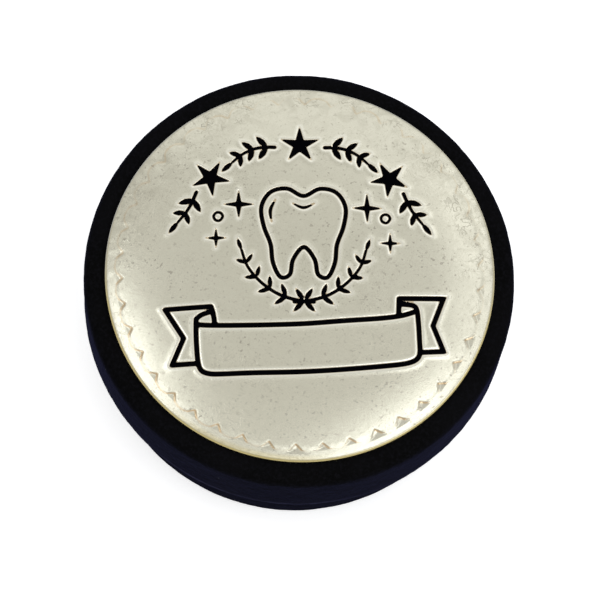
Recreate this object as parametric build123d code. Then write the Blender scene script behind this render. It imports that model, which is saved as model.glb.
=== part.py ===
from build123d import *
import math
import os

# A round keepsake box for a first milk tooth. A velvet-covered base cup stands on a felt disc,
# a velvet-covered lid drops over it, and a stamped metal plaque is stuck on the lid.
# Millimetres, +Z up. The origin is the centre of the underside.

# Outside sizes
lid_radius = 20.0
box_height = 17.35  # underside of the felt to the velvet round the plaque
skirt_height = 7.95  # the part of that height that the lid's skirt covers
shoulder_radius = 1.95

# Sheet goods
pile_thickness = 0.45
felt_thickness = 0.4
satin_thickness = 0.2
paper_thickness = 0.15
card_thickness = 0.5

# Moulded cores under the velvet
lid_wall = 0.85
lid_top_thickness = 1.5
lid_core_chamfer = 1.0
base_wall = 1.1
base_floor_thickness = 1.6

# Fits
lid_clearance = 0.15  # radial, between the base's velvet and the lining of the skirt
seat_clearance = 0.02  # between the base's rim and the lining of the lid
pad_clearance = 0.15  # radial, round the cushion in the cup
dip_clearance = 0.5  # radial, between the lid's pad and the mouth of the cup

# Velvet turned in at its edges
skirt_hem = 1.6
rim_hem = 2.0
base_hem = 3.55
skirt_fold_bevel = 0.3
rim_fold_bevel = 0.4
base_edge_bevel = 0.5
felt_margin = 0.3

# Cushions
floor_foam_thickness = 2.0
floor_cushion_edge = 1.0
floor_cushion_crown = 0.9
lid_foam_thickness = 1.0
lid_pad_edge = 0.7
lid_pad_crown = 0.35
cushion_draw_in_share = 0.35  # of the height of the cushion's side

# Stamped plaque
sheet_thickness = 0.3
plaque_wall = 0.55
plaque_edge_bevel = 0.15
plaque_rise = 1.1  # crown above the border band
crown_radius = 12.0  # plan radius of the gently domed middle
crown_drop = 0.36
lobe_count = 42
lobe_phase = 0.3  # of a pitch, from +X round to the first tip between two lobes
lobe_depth = 0.7
border_width = 0.93  # plaque edge to the tops of the lobes
lobe_overrun = 1.0  # how far the scalloped cutter passes the dome, above and below
tape_thickness = 0.1
tape_margin = 0.3
backing_thickness = 0.25
backing_margin = 0.5

# Radii that follow from the sizes above
lid_core_radius = lid_radius - pile_thickness
lid_core_inner = lid_core_radius - lid_wall
skirt_bore = lid_core_inner - paper_thickness
base_radius = skirt_bore - lid_clearance
base_core_radius = base_radius - pile_thickness
base_core_inner = base_core_radius - base_wall
mouth_radius = base_core_inner - pile_thickness
hem_edge_radius = base_core_radius - base_hem
floor_pad_radius = mouth_radius - pad_clearance
lid_pad_radius = mouth_radius - dip_clearance
plaque_radius = lid_radius - shoulder_radius
plaque_bore = plaque_radius - sheet_thickness
lobe_top_radius = plaque_radius - border_width
lobe_root_radius = lobe_top_radius - lobe_depth

# Heights that follow from the sizes above
skirt_bottom = box_height - skirt_height
skirt_core_bottom = skirt_bottom + pile_thickness
skirt_hem_top = skirt_core_bottom + skirt_hem
lid_core_top = box_height - pile_thickness
lid_core_underside = lid_core_top - lid_top_thickness
lid_lining_face = lid_core_underside - paper_thickness
rim_top = lid_lining_face - seat_clearance
cup_top = rim_top - pile_thickness
cup_floor = felt_thickness + base_floor_thickness
hem_rebate_top = felt_thickness + pile_thickness
rim_hem_end = cup_top - rim_hem
floor_foam_bottom = cup_floor + card_thickness
floor_cushion_bottom = floor_foam_bottom + floor_foam_thickness
lid_card_face = lid_lining_face - card_thickness
lid_foam_face = lid_card_face - lid_foam_thickness
band_top = box_height + plaque_wall
crown_top = band_top + plaque_rise
tape_top = box_height + tape_thickness


def turned(*profile):
    """A solid turned about Z from the edges of its profile, drawn as radius and height."""
    return revolve(make_face(Plane.XZ * Curve(list(profile))), Axis.Z)


def disc(radius, bottom, top):
    """A plain round disc between two heights."""
    return Pos(0, 0, bottom) * extrude(Circle(radius), top - bottom)


def tube(inner_radius, outer_radius, bottom, top):
    """A plain round wall between two radii and two heights."""
    wall = Circle(outer_radius) - Circle(inner_radius)
    return Pos(0, 0, bottom) * extrude(wall, top - bottom)


def base_shell():
    """The moulded cup. A rebate under its floor takes the velvet that is turned in there."""
    return turned(
        Polyline(
            (0, felt_thickness),
            (hem_edge_radius, felt_thickness),
            (hem_edge_radius, hem_rebate_top),
            (base_core_radius, hem_rebate_top),
            (base_core_radius, cup_top),
            (base_core_inner, cup_top),
            (base_core_inner, cup_floor),
            (0, cup_floor),
            close=True,
        )
    )


def base_velvet():
    """One skin round the cup, rolled over its rim and turned in under its floor."""
    return turned(
        Polyline(
            (hem_edge_radius, felt_thickness),
            (base_radius - base_edge_bevel, felt_thickness),
            (base_radius, felt_thickness + base_edge_bevel),
            (base_radius, rim_top - rim_fold_bevel),
            (base_radius - rim_fold_bevel, rim_top),
            (mouth_radius + rim_fold_bevel, rim_top),
            (mouth_radius, rim_top - rim_fold_bevel),
            (mouth_radius, rim_hem_end),
            (base_core_inner, rim_hem_end),
            (base_core_inner, cup_top),
            (base_core_radius, cup_top),
            (base_core_radius, hem_rebate_top),
            (hem_edge_radius, hem_rebate_top),
            close=True,
        )
    )


def base_felt():
    """The felt disc that the box stands on, which covers the edge of the turned-in velvet."""
    return disc(base_radius - base_edge_bevel - felt_margin, 0, felt_thickness)


def wall_lining_card():
    """The card strip sprung into the cup. With its satin it is as thick as the velvet hem."""
    return tube(mouth_radius + satin_thickness, base_core_inner, cup_floor, rim_hem_end)


def wall_lining():
    """The satin on the card strip."""
    return tube(mouth_radius, mouth_radius + satin_thickness, cup_floor, rim_hem_end)


def floor_card():
    """The card that stiffens the cushion."""
    return disc(floor_pad_radius, cup_floor, floor_foam_bottom)


def floor_foam():
    """The flat foam disc under the satin cushion."""
    return disc(floor_pad_radius, floor_foam_bottom, floor_cushion_bottom)


def crowned_pad(radius, edge, crown):
    """A stuffed satin round: a crowned face that runs out to its widest line, and below that
    a side that draws in to the card."""
    drawn_in = radius - cushion_draw_in_share * edge
    return turned(
        TangentArc((0, edge + crown), (radius, edge), tangent=(1, 0)),
        Polyline((radius, edge), (drawn_in, 0), (0, 0), (0, edge + crown)),
    )


def floor_cushion():
    """The satin cushion that the tooth lies on."""
    pad = crowned_pad(floor_pad_radius, floor_cushion_edge, floor_cushion_crown)
    return Pos(0, 0, floor_cushion_bottom) * pad


def lid_shell():
    """The moulded lid. A rebate inside the foot of its skirt takes the turned-in velvet."""
    return turned(
        Polyline(
            (0, lid_core_top),
            (lid_core_radius - lid_core_chamfer, lid_core_top),
            (lid_core_radius, lid_core_top - lid_core_chamfer),
            (lid_core_radius, skirt_core_bottom),
            (skirt_bore + pile_thickness, skirt_core_bottom),
            (skirt_bore + pile_thickness, skirt_hem_top),
            (lid_core_inner, skirt_hem_top),
            (lid_core_inner, lid_core_underside),
            (0, lid_core_underside),
            close=True,
        )
    )


def lid_velvet():
    """One skin over the lid, with a full round shoulder, folded in under the skirt."""
    return turned(
        Line((0, box_height), (plaque_radius, box_height)),
        RadiusArc(
            (plaque_radius, box_height),
            (lid_radius, box_height - shoulder_radius),
            shoulder_radius,
        ),
        Polyline(
            (lid_radius, box_height - shoulder_radius),
            (lid_radius, skirt_bottom + skirt_fold_bevel),
            (lid_radius - skirt_fold_bevel, skirt_bottom),
            (skirt_bore, skirt_bottom),
            (skirt_bore, skirt_hem_top),
            (skirt_bore + pile_thickness, skirt_hem_top),
            (skirt_bore + pile_thickness, skirt_core_bottom),
            (lid_core_radius, skirt_core_bottom),
            (lid_core_radius, lid_core_top - lid_core_chamfer),
            (lid_core_radius - lid_core_chamfer, lid_core_top),
            (0, lid_core_top),
            (0, box_height),
        ),
    )


def lid_lining_paper():
    """The flocked paper inside the lid, down the skirt as far as the velvet hem."""
    return turned(
        Polyline(
            (0, lid_core_underside),
            (lid_core_inner, lid_core_underside),
            (lid_core_inner, skirt_hem_top),
            (skirt_bore, skirt_hem_top),
            (skirt_bore, lid_lining_face),
            (0, lid_lining_face),
            close=True,
        )
    )


def lid_lining_card():
    """The card that carries the lid's satin pad."""
    return disc(lid_pad_radius, lid_card_face, lid_lining_face)


def lid_lining_foam():
    """The thin foam disc in the lid's pad."""
    return disc(lid_pad_radius, lid_foam_face, lid_card_face)


def lid_lining_satin():
    """The satin face of the lid's pad, crowned downwards."""
    pad = crowned_pad(lid_pad_radius, lid_pad_edge, lid_pad_crown)
    return Pos(0, 0, lid_foam_face) * mirror(pad, Plane.XY)


def domed_field():
    """The full dome, solid down to the plaque's underside: a gentle crown that runs on into a
    tighter knuckle, which meets the height of the border band at the plaque's edge."""
    sphere_radius = (crown_radius**2 + crown_drop**2) / (2 * crown_drop)
    half = crown_radius / 2
    half_drop = sphere_radius - math.sqrt(sphere_radius**2 - half**2)
    dome_edge = (plaque_radius, band_top)
    crown = ThreePointArc(
        (0, crown_top),
        (half, crown_top - half_drop),
        (crown_radius, crown_top - crown_drop),
    )
    knuckle = TangentArc(crown @ 1, dome_edge, tangent=crown % 1)
    foot = (plaque_radius, box_height)
    return turned(crown, knuckle, Polyline(dome_edge, foot, (0, box_height), (0, crown_top)))


def scalloped_field():
    """The outline of the raised field: round lobes that meet in inward-pointing tips."""
    pitch = 360 / lobe_count

    def rim_point(radius, lobe):
        turn = math.radians((lobe + lobe_phase) * pitch)
        return (radius * math.cos(turn), radius * math.sin(turn))

    lobes = [
        ThreePointArc(
            rim_point(lobe_root_radius, lobe),
            rim_point(lobe_top_radius, lobe + 1 / 2),
            rim_point(lobe_root_radius, lobe + 1),
        )
        for lobe in range(lobe_count)
    ]
    return make_face(lobes)


def plaque_sheet():
    """The stamped plaque: a shallow tray turned down at its edge, with a smooth border band
    round a raised, domed field whose edge is scalloped. It is hollow underneath, and nowhere
    thinner than the sheet."""
    tray = turned(
        Polyline(
            (0, box_height),
            (plaque_radius, box_height),
            (plaque_radius, band_top - plaque_edge_bevel),
            (plaque_radius - plaque_edge_bevel, band_top),
            (0, band_top),
            close=True,
        )
    )
    cutter_height = plaque_wall + plaque_rise + 2 * lobe_overrun
    cutter = Pos(0, 0, box_height - lobe_overrun) * extrude(scalloped_field(), cutter_height)
    rise_share = (plaque_radius - lobe_root_radius) / (plaque_radius - crown_radius)
    root_rise = rise_share * (plaque_rise - crown_drop)
    hollow = turned(
        Polyline(
            (0, box_height),
            (plaque_bore, box_height),
            (plaque_bore, band_top - sheet_thickness),
            (lobe_root_radius, band_top - sheet_thickness),
            (lobe_root_radius, band_top + root_rise - sheet_thickness),
            (crown_radius, crown_top - crown_drop - sheet_thickness),
            (0, crown_top - sheet_thickness),
            close=True,
        )
    )
    return tray + (domed_field() & cutter) - hollow


def plaque_backing():
    """The stiff disc inside the turned-down edge that keeps the plaque flat on its tape."""
    return disc(lobe_root_radius - backing_margin, tape_top, tape_top + backing_thickness)


def plaque_tape():
    """The adhesive disc between the velvet and the plaque."""
    return disc(plaque_bore - tape_margin, box_height, tape_top)


PIECES = [
    base_shell,
    base_velvet,
    base_felt,
    wall_lining_card,
    wall_lining,
    floor_card,
    floor_foam,
    floor_cushion,
    lid_shell,
    lid_velvet,
    lid_lining_paper,
    lid_lining_card,
    lid_lining_foam,
    lid_lining_satin,
    plaque_sheet,
    plaque_backing,
    plaque_tape,
]

os.makedirs("parts", exist_ok=True)
for piece in PIECES:
    export_step(piece(), f"parts/{piece.__name__}.step")
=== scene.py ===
import math

import bpy
import numpy as np
from mathutils import Matrix, Vector
from mathutils.geometry import delaunay_2d_cdt
from mathutils.kdtree import KDTree


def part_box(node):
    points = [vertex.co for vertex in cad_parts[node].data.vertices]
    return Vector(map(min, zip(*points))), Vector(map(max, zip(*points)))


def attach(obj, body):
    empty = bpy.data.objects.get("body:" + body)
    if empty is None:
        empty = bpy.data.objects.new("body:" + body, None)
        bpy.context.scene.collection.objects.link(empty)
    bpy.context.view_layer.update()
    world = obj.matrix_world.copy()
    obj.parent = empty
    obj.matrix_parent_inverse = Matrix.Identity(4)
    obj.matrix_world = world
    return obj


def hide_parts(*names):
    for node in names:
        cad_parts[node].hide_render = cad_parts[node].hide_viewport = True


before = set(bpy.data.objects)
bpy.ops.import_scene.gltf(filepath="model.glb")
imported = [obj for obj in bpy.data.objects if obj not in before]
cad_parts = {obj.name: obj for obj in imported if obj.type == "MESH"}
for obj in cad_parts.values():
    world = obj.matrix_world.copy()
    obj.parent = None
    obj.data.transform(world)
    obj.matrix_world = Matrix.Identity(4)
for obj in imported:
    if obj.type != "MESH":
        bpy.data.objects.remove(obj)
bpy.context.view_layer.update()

# The box's lengths are in millimetres up to the point where a mesh is made. A profile is a list
# of points (r, z): a distance from the box's axis, and a height above what the box stands on.
MM = 0.001
TURN = 2 * math.pi


def reach(node):
    """A CAD node's radius, bottom and top, in millimetres."""
    low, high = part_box(node)
    return high.x / MM, low.z / MM, high.z / MM


# Numbers


def smooth(start, end, x):
    """A smooth ramp from 0 where x is start to 1 where it is end."""
    t = np.clip((x - start) / (end - start), 0, 1)
    return t * t * (3 - 2 * t)


def hump(x, width):
    """A smooth hump, 1 where x is 0 and about a third where it is width."""
    return np.exp(-((x / width) ** 2))


def past(angles, start):
    """How far each angle is past another one, within half a turn either way."""
    return np.mod(angles - start + math.pi, TURN) - math.pi


def cylinder(points):
    """Each point's radius, angle and height."""
    x, y, z = points.T
    return np.hypot(x, y), np.arctan2(y, x), z


def lattice(whole, seed):
    """A repeatable number from -1 to 1 for each point of a whole-number grid."""
    n = whole.astype(np.int64).astype(np.uint64)
    h = n[:, 0] * np.uint64(0x9E3779B97F4A7C15) + n[:, 1] * np.uint64(0xC2B2AE3D27D4EB4F)
    h = h + n[:, 2] * np.uint64(0x165667B19E3779F9) + np.uint64(seed * 7919 + 13)
    h = (h ^ (h >> np.uint64(29))) * np.uint64(0xBF58476D1CE4E5B9)
    h = h ^ (h >> np.uint64(32))
    return (h & np.uint64(0xFFFFFF)).astype(float) / 0x7FFFFF - 1


def rough(points, cell, seed):
    """Smooth noise from about -1 to 1 whose lumps are about one cell across."""
    q = np.asarray(points, float) / cell
    base = np.floor(q)
    f = q - base
    f = f * f * (3 - 2 * f)
    total = np.zeros(len(q))
    for corner in range(8):
        step = np.array([corner & 1, corner >> 1 & 1, corner >> 2 & 1])
        weight = np.where(step, f, 1 - f).prod(axis=1)
        total += weight * lattice(base + step, seed)
    return total


# Meshes


def make(name, points, faces, shader, body, sharp=None):
    """A smooth-shaded mesh object from points in millimetres, riding on a body. Its edges are
    kept crisp where they bend by more than sharp degrees."""
    mesh = bpy.data.meshes.new(name)
    mesh.from_pydata((np.asarray(points) * MM).tolist(), [], faces)
    mesh.update()
    mesh.polygons.foreach_set("use_smooth", [True] * len(mesh.polygons))
    if sharp is not None:
        mesh.set_sharp_from_angle(angle=math.radians(sharp))
    mesh.materials.append(shader)
    piece = bpy.data.objects.new(name, mesh)
    bpy.context.scene.collection.objects.link(piece)
    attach(piece, body)
    return piece


def paint(piece, name, *channels):
    """Gives a piece a colour attribute from up to three lists of numbers, one a vertex."""
    rgba = np.zeros((len(piece.data.vertices), 4), np.float32)
    rgba[:, 3] = 1
    for k, values in enumerate(channels):
        rgba[:, k] = values
    layer = piece.data.color_attributes.new(name, "FLOAT_COLOR", "POINT")
    layer.data.foreach_set("color", rgba.ravel())


def rounded(corners, step):
    """A profile through corners, with points about a step apart. A corner that is rounded has
    its radius as a third number."""
    corners = [(*corner, 0)[:3] for corner in corners]
    out = []

    def add(point):
        if not out or math.dist(out[-1], point) > 1e-6:
            out.append(point)

    def run(a, b):
        pieces = max(1, round(math.dist(a, b) / step))
        for k in range(pieces + 1):
            add((a[0] + (b[0] - a[0]) * k / pieces, a[1] + (b[1] - a[1]) * k / pieces))

    last = corners[0][:2]
    for before, (x, z, bend), after in zip(corners, corners[1:], corners[2:]):
        a = Vector((before[0] - x, before[1] - z))
        b = Vector((after[0] - x, after[1] - z))
        half = a.angle(b) / 2
        cut = min(bend / math.tan(half), a.length * 0.49, b.length * 0.49)
        start = Vector((x, z)) + a.normalized() * cut
        end = Vector((x, z)) + b.normalized() * cut
        run(last, tuple(start))
        pieces = max(3, round(cut * 2 / step))
        for k in range(1, pieces + 1):
            t = k / pieces
            p = start * (1 - t) ** 2 + Vector((x, z)) * 2 * t * (1 - t) + end * t * t
            add(tuple(p))
        last = tuple(end)
    run(last, corners[-1][:2])
    return np.array(out)


def lathe(profile, count):
    """A profile turned about Z, with the solid on its right. Gives the points, the faces, and
    for every point its outward normal, its angle and its row."""
    rows, points, angles, row_of = [], [], [], []
    turns = np.arange(count) * TURN / count
    for k, (r, z) in enumerate(profile):
        n = 1 if r < 1e-6 else count
        rows.append((len(points), n))
        for a in turns[:n]:
            points.append((r * math.cos(a), r * math.sin(a), z))
            angles.append(a)
            row_of.append(k)
    faces = []
    for (a, na), (b, nb) in zip(rows, rows[1:]):
        for k in range(count):
            m = (k + 1) % count
            if na == 1 and nb > 1:
                faces.append((a, b + k, b + m))
            elif nb == 1 and na > 1:
                faces.append((a + k, b, a + m))
            elif nb > 1:
                faces.append((a + k, b + k, b + m, a + m))
    along = np.gradient(profile, axis=0)
    normal = np.stack([-along[:, 1], along[:, 0]], axis=1)
    normal /= np.maximum(np.linalg.norm(normal, axis=1), 1e-9)[:, None]
    row_of, angles = np.array(row_of), np.array(angles)
    side = normal[row_of]
    out = np.stack([side[:, 0] * np.cos(angles), side[:, 0] * np.sin(angles), side[:, 1]], axis=1)
    return np.array(points), faces, out, angles, row_of


def turned_over(faces):
    """Faces that look the other way."""
    return [tuple(reversed(face)) for face in faces]


def ring_solid(profile, count):
    """A ring-shaped solid from a profile whose last point is joined to its first."""
    points, faces, out, angles, _ = lathe(profile, count)
    last = (len(profile) - 1) * count
    for k in range(count):
        m = (k + 1) % count
        faces.append((last + k, k, m, last + m))
    return points, faces, out, angles


# Materials


class Shader:
    """A material made node by node. Lengths are in millimetres of the object."""

    def __init__(self, name, **fixed):
        self.material = bpy.data.materials.new(name)
        self.material.use_nodes = True
        self.tree = self.material.node_tree
        self.surface = self.tree.nodes["Principled BSDF"]
        self.place = self.node("ShaderNodeTexCoord").outputs["Object"]
        self.set(**fixed)

    def node(self, kind, settings=None, **inputs):
        made = self.tree.nodes.new(kind)
        for key, value in (settings or {}).items():
            setattr(made, key, value)
        for key, value in inputs.items():
            self.put(made.inputs[key.replace("_", " ")], value)
        return made

    def put(self, socket, value):
        if isinstance(value, bpy.types.NodeSocket):
            self.tree.links.new(value, socket)
        else:
            socket.default_value = value

    def set(self, **inputs):
        """Sets the surface's own inputs, and gives the material."""
        for key, value in inputs.items():
            self.put(self.surface.inputs[key.replace("_", " ")], value)
        return self.material

    def noise(self, size, detail, roughness=0.5, stretch=None, seed=0.0, swirl=0.0):
        """Noise whose lumps are about size across, from 0 to 1."""
        look = {"Scale": 1 / (size * MM * 2), "Detail": detail, "Roughness": roughness}
        place = self.place
        if stretch or seed:
            shift = (seed, seed * 0.7, -seed * 0.4)
            scale = stretch or (1, 1, 1)
            moved = self.node("ShaderNodeMapping", Vector=place, Scale=scale, Location=shift)
            place = moved.outputs["Vector"]
        made = self.node("ShaderNodeTexNoise", Vector=place, Distortion=swirl, **look)
        return made.outputs["Fac"]

    def maths(self, operation, a, b=0.0):
        made = self.node("ShaderNodeMath", {"operation": operation})
        self.put(made.inputs[0], a)
        self.put(made.inputs[1], b)
        return made.outputs[0]

    def times(self, a, b):
        return self.maths("MULTIPLY", a, b)

    def most(self, a, b):
        return self.maths("MAXIMUM", a, b)

    def band(self, value, low, high, to_low=0.0, to_high=1.0):
        """A smooth ramp of a value."""
        limits = {"From_Min": low, "From_Max": high, "To_Min": to_low, "To_Max": to_high}
        smoothly = {"interpolation_type": "SMOOTHSTEP"}
        return self.node("ShaderNodeMapRange", smoothly, Value=value, **limits).outputs["Result"]

    def line(self, value, width):
        """A thin line where a value passes a half."""
        off = self.maths("ABSOLUTE", self.maths("SUBTRACT", value, 0.5))
        return self.band(off, 0.0, width, 1.0, 0.0)

    def mix(self, share, a, b):
        made = self.node("ShaderNodeMix", {"data_type": "RGBA"}, Factor=share)
        for socket, value in ((made.inputs[6], a), (made.inputs[7], b)):
            self.put(socket, value if isinstance(value, bpy.types.NodeSocket) else (*value, 1.0))
        return made.outputs[2]

    def coats(self, tone, *layers):
        """A tone with a second tone laid over it for each share, in turn."""
        for share, over in layers:
            tone = self.mix(share, tone, over)
        return tone

    def marks(self, name):
        """A colour attribute's three channels."""
        found = self.node("ShaderNodeAttribute", {"attribute_name": name})
        parts = self.node("ShaderNodeSeparateColor", Color=found.outputs["Color"])
        return [parts.outputs[k] for k in ("Red", "Green", "Blue")]

    def bump(self, height, depth, strength=1.0, over=None):
        """A normal for a relief of a depth, laid over another normal."""
        if not isinstance(depth, bpy.types.NodeSocket):
            depth = depth * MM
        made = self.node("ShaderNodeBump", Height=height, Distance=depth, Strength=strength)
        if over is not None:
            self.put(made.inputs["Normal"], over)
        return made.outputs["Normal"]


def silver():
    """Satin silver plate: golden at its edge, brown in the stamped corners, with pits and short
    scratches all over and faint creases in patches, mottled and crazed where it is worn. Its edge
    is painted darker at the far side as painted shade, and the metal beside the strokes is
    painted paler as a painted highlight."""
    s = Shader("satin_silver_plate", Metallic=1.0)
    golden, crevice, worn = s.marks("marks")
    edge_painted_shade, stroke_painted_highlight, _ = s.marks("painted_light_marks")
    fine = s.noise(0.18, 3, 0.7, seed=8.8)
    pit = s.band(s.noise(0.17, 1, 0.5, seed=3.1), 0.655, 0.70)
    nick = s.band(s.noise(0.16, 1, 0.5, stretch=(1, 2.6, 1), seed=5.9, swirl=1.6), 0.68, 0.715)
    slash = s.band(s.noise(0.16, 1, 0.5, stretch=(2.4, 1, 1), seed=9.4, swirl=2.2), 0.69, 0.72)
    patch = s.band(s.noise(3.2, 2, 0.5, seed=1.3), 0.35, 0.65, 0.4, 1.0)
    speck = s.times(s.most(pit, s.most(nick, slash)), patch)
    crack = s.line(s.noise(0.42, 2, 0.5, seed=7.7), 0.035)
    crazed = s.times(s.times(crack, s.band(s.noise(1.0, 2, 0.5, seed=4.6), 0.47, 0.62)), worn)
    mottle = s.band(s.noise(0.8, 3, 0.65, seed=12.1, swirl=0.8), 0.42, 0.64, 0.0, 0.46)
    crease = s.line(s.noise(0.5, 2, 0.5, seed=11.7, swirl=2.0), 0.045)
    creased = s.times(crease, s.band(s.noise(2.8, 2, 0.6, seed=15.2), 0.45, 0.62))
    tone = s.coats(
        s.mix(s.noise(7.0, 3, 0.5), (0.492, 0.475, 0.380), (0.512, 0.497, 0.405)),
        (s.band(fine, 0.25, 0.75, 0.0, 0.22), (0.43, 0.41, 0.33)),
        (s.times(speck, 0.55), (0.22, 0.20, 0.16)),
        (s.times(crazed, 0.52), (0.25, 0.235, 0.185)),
        (s.times(mottle, worn), (0.355, 0.339, 0.266)),
        (s.times(creased, 0.27), (0.30, 0.28, 0.22)),
        (crevice, (0.39, 0.262, 0.122)),
        (golden, (0.445, 0.362, 0.140)),
        # Painted shade on the edge at the far side
        (edge_painted_shade, (0.31, 0.315, 0.30)),
        # Painted highlight beside the strokes
        (stroke_painted_highlight, (0.66, 0.645, 0.555)),
    )
    grain = s.bump(fine, 0.0022)
    for height, depth in (
        (s.noise(0.3, 2, 0.6, stretch=(1, 7, 1), seed=4.4), 0.002),
        (s.noise(1.0, 3, 0.6, seed=2.2), s.times(worn, 0.038 * MM)),
        (creased, 0.0018),
        (crazed, 0.008),
    ):
        grain = s.bump(height, depth, over=grain)
    gloss = s.band(s.noise(0.6, 4, 0.7, seed=5.5), 0.25, 0.75, 0.205, 0.235)
    return s.set(Base_Color=tone, Normal=grain, Roughness=gloss)


def enamel():
    """Matt black enamel."""
    s = Shader("black_enamel", Specular_IOR_Level=0.004, Roughness=0.4)
    tone = s.mix(s.noise(0.4, 3, 0.6), (0.0004, 0.0004, 0.0008), (0.0012, 0.0011, 0.0020))
    return s.set(Base_Color=tone, Normal=s.bump(s.noise(0.25, 3, 0.6), 0.012))


def velvet(name, seed):
    """Black velvet, brushed in patches, with a little lint, and painted sheen that makes its folded
    hem and rim paler and bluer.
    """
    s = Shader(name, Specular_IOR_Level=0.0, Roughness=1.0)
    s.set(Sheen_Weight=0.072, Sheen_Roughness=0.32, Sheen_Tint=(0.28, 0.30, 0.76, 1))
    brushed = s.noise(2.6, 4, 0.6, seed=seed)
    tuft = s.noise(0.16, 2, 0.7, seed=seed)
    tone = s.coats(
        s.mix(s.band(brushed, 0.3, 0.7), (0.0027, 0.0027, 0.0027), (0.0038, 0.0037, 0.0040)),
        (s.band(tuft, 0.42, 0.70), (0.0049, 0.0048, 0.0057)),
        # Painted sheen along the folded hem and rim
        (s.times(s.marks("painted_sheen")[0], s.band(tuft, 0.2, 0.7, 0.35, 1.0)), (0.021, 0.0205, 0.036)),
        (s.band(s.noise(0.22, 1, 0.4, seed=seed + 5), 0.835, 0.86), (0.10, 0.10, 0.11)),
    )
    pile = s.bump(s.noise(0.7, 3, 0.6, seed=seed), 0.12, 0.5, over=s.bump(tuft, 0.09, 0.65))
    return s.set(Base_Color=tone, Normal=pile)


def felt():
    """Black felt of matted fibres that run both ways."""
    s = Shader("black_felt", Specular_IOR_Level=0.0, Roughness=1.0)
    s.set(Sheen_Weight=0.18, Sheen_Roughness=0.5, Sheen_Tint=(0.5, 0.5, 0.55, 1))
    long = s.noise(0.3, 4, 0.7, stretch=(1, 5, 1), swirl=1.2)
    across = s.noise(0.3, 4, 0.7, stretch=(5, 1, 1), seed=2.0, swirl=1.2)
    fibre = s.most(long, across)
    tone = s.mix(s.band(fibre, 0.45, 0.7), (0.005, 0.005, 0.006), (0.040, 0.040, 0.045))
    return s.set(Base_Color=tone, Normal=s.bump(fibre, 0.08, 0.9))


def satin(name, light, shade):
    """Woven satin with a faint slub."""
    s = Shader(name, Roughness=0.33, Specular_IOR_Level=0.5, Anisotropic=0.5)
    s.set(Sheen_Weight=0.25, Sheen_Roughness=0.35, Sheen_Tint=(1.0, 0.97, 0.90, 1))

    def threads(direction, apart, waver):
        look = {"Scale": 1 / (apart * MM * TURN / 2), "Distortion": waver}
        made = s.node("ShaderNodeTexWave", {"bands_direction": direction}, Vector=s.place, **look)
        return made.outputs["Fac"]

    weave = s.times(threads("X", 0.11, 0.6), threads("Y", 0.30, 0.8))
    slub = s.noise(0.35, 3, 0.6, stretch=(0.4, 2.4, 1))
    tone = s.mix(s.band(slub, 0.3, 0.7), shade, light)
    return s.set(Base_Color=tone, Normal=s.bump(weave, 0.012, 0.5))


def plain(name, dark, light, size, depth, roughness, **fixed):
    """A matt material with grain at two sizes."""
    s = Shader(name, **fixed)
    grain = s.noise(size, 4, 0.65)
    broad = s.noise(size * 9, 3, 0.5)
    both = s.maths("ADD", s.times(grain, 0.6), s.times(broad, 0.4))
    tone = s.mix(s.band(both, 0.3, 0.7), dark, light)
    gloss = s.band(grain, 0.2, 0.8, roughness - 0.1, roughness + 0.1)
    return s.set(Base_Color=tone, Roughness=gloss, Normal=s.bump(grain, depth, 0.7))


silver_plate = silver()
black_enamel = enamel()
lid_pile = velvet("lid_velvet_pile", 0.3)
base_pile = velvet("base_velvet_pile", 6.1)
black_felt = felt()
ivory_satin = satin("ivory_satin", (0.88, 0.845, 0.76), (0.855, 0.817, 0.727))
foam_skin = plain("white_foam", (0.62, 0.60, 0.54), (0.78, 0.76, 0.70), 0.25, 0.12, 0.9)

# The plaque's design

# A stroke is a list of (x, y, width). Everything drawn on the plaque is made of strokes.
strokes = []
CURVE_STEPS = 6


def curve(p, closed):
    """Points on a smooth curve that passes through others."""
    n, fine = len(p), []
    for k in range(n if closed else n - 1):
        around = [i % n if closed else min(max(i, 0), n - 1) for i in range(k - 1, k + 3)]
        a, b, c, d = (p[i] for i in around)
        once, twice, thrice = c - a, 2 * a - 5 * b + 4 * c - d, 3 * b - a - 3 * c + d
        for step in range(CURVE_STEPS):
            t = step / CURVE_STEPS
            fine.append(0.5 * (2 * b + once * t + twice * t * t + thrice * t**3))
    return fine + ([fine[0]] if closed else [p[-1]])


def draw(points, width=0.4, closed=False, bend=True):
    """Adds a stroke. A point may have its own width. bend passes a smooth curve through them."""
    p = [Vector((q[0], q[1], q[2] if len(q) > 2 else width)) for q in points]
    if bend:
        p = curve(p, closed)
    strokes.append(np.array([tuple(q) for q in p]))


def leaf(x, y, turn, length, width):
    """One filled leaf, from its foot at x, y."""
    c, s = math.cos(math.radians(turn)), math.sin(math.radians(turn))
    spread = [(0, 0.12), (0.25, 0.8), (0.5, 1.0), (0.75, 0.7), (1, 0.1)]
    draw([(x + c * length * t, y + s * length * t, width * w) for t, w in spread], bend=False)


def star(x, y, rays, length, width, turn=90.0):
    """A filled star with plump rays."""
    for k in range(rays):
        a = math.radians(turn + 360 * k / rays)
        tip = (x + length * math.cos(a), y + length * math.sin(a), 0.08)
        draw([(x, y, width), tip], bend=False)


def on_arc(radius, turn):
    """A point turn degrees clockwise from the top."""
    a = math.radians(90 - turn)
    return radius * math.cos(a), radius * math.sin(a)


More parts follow.
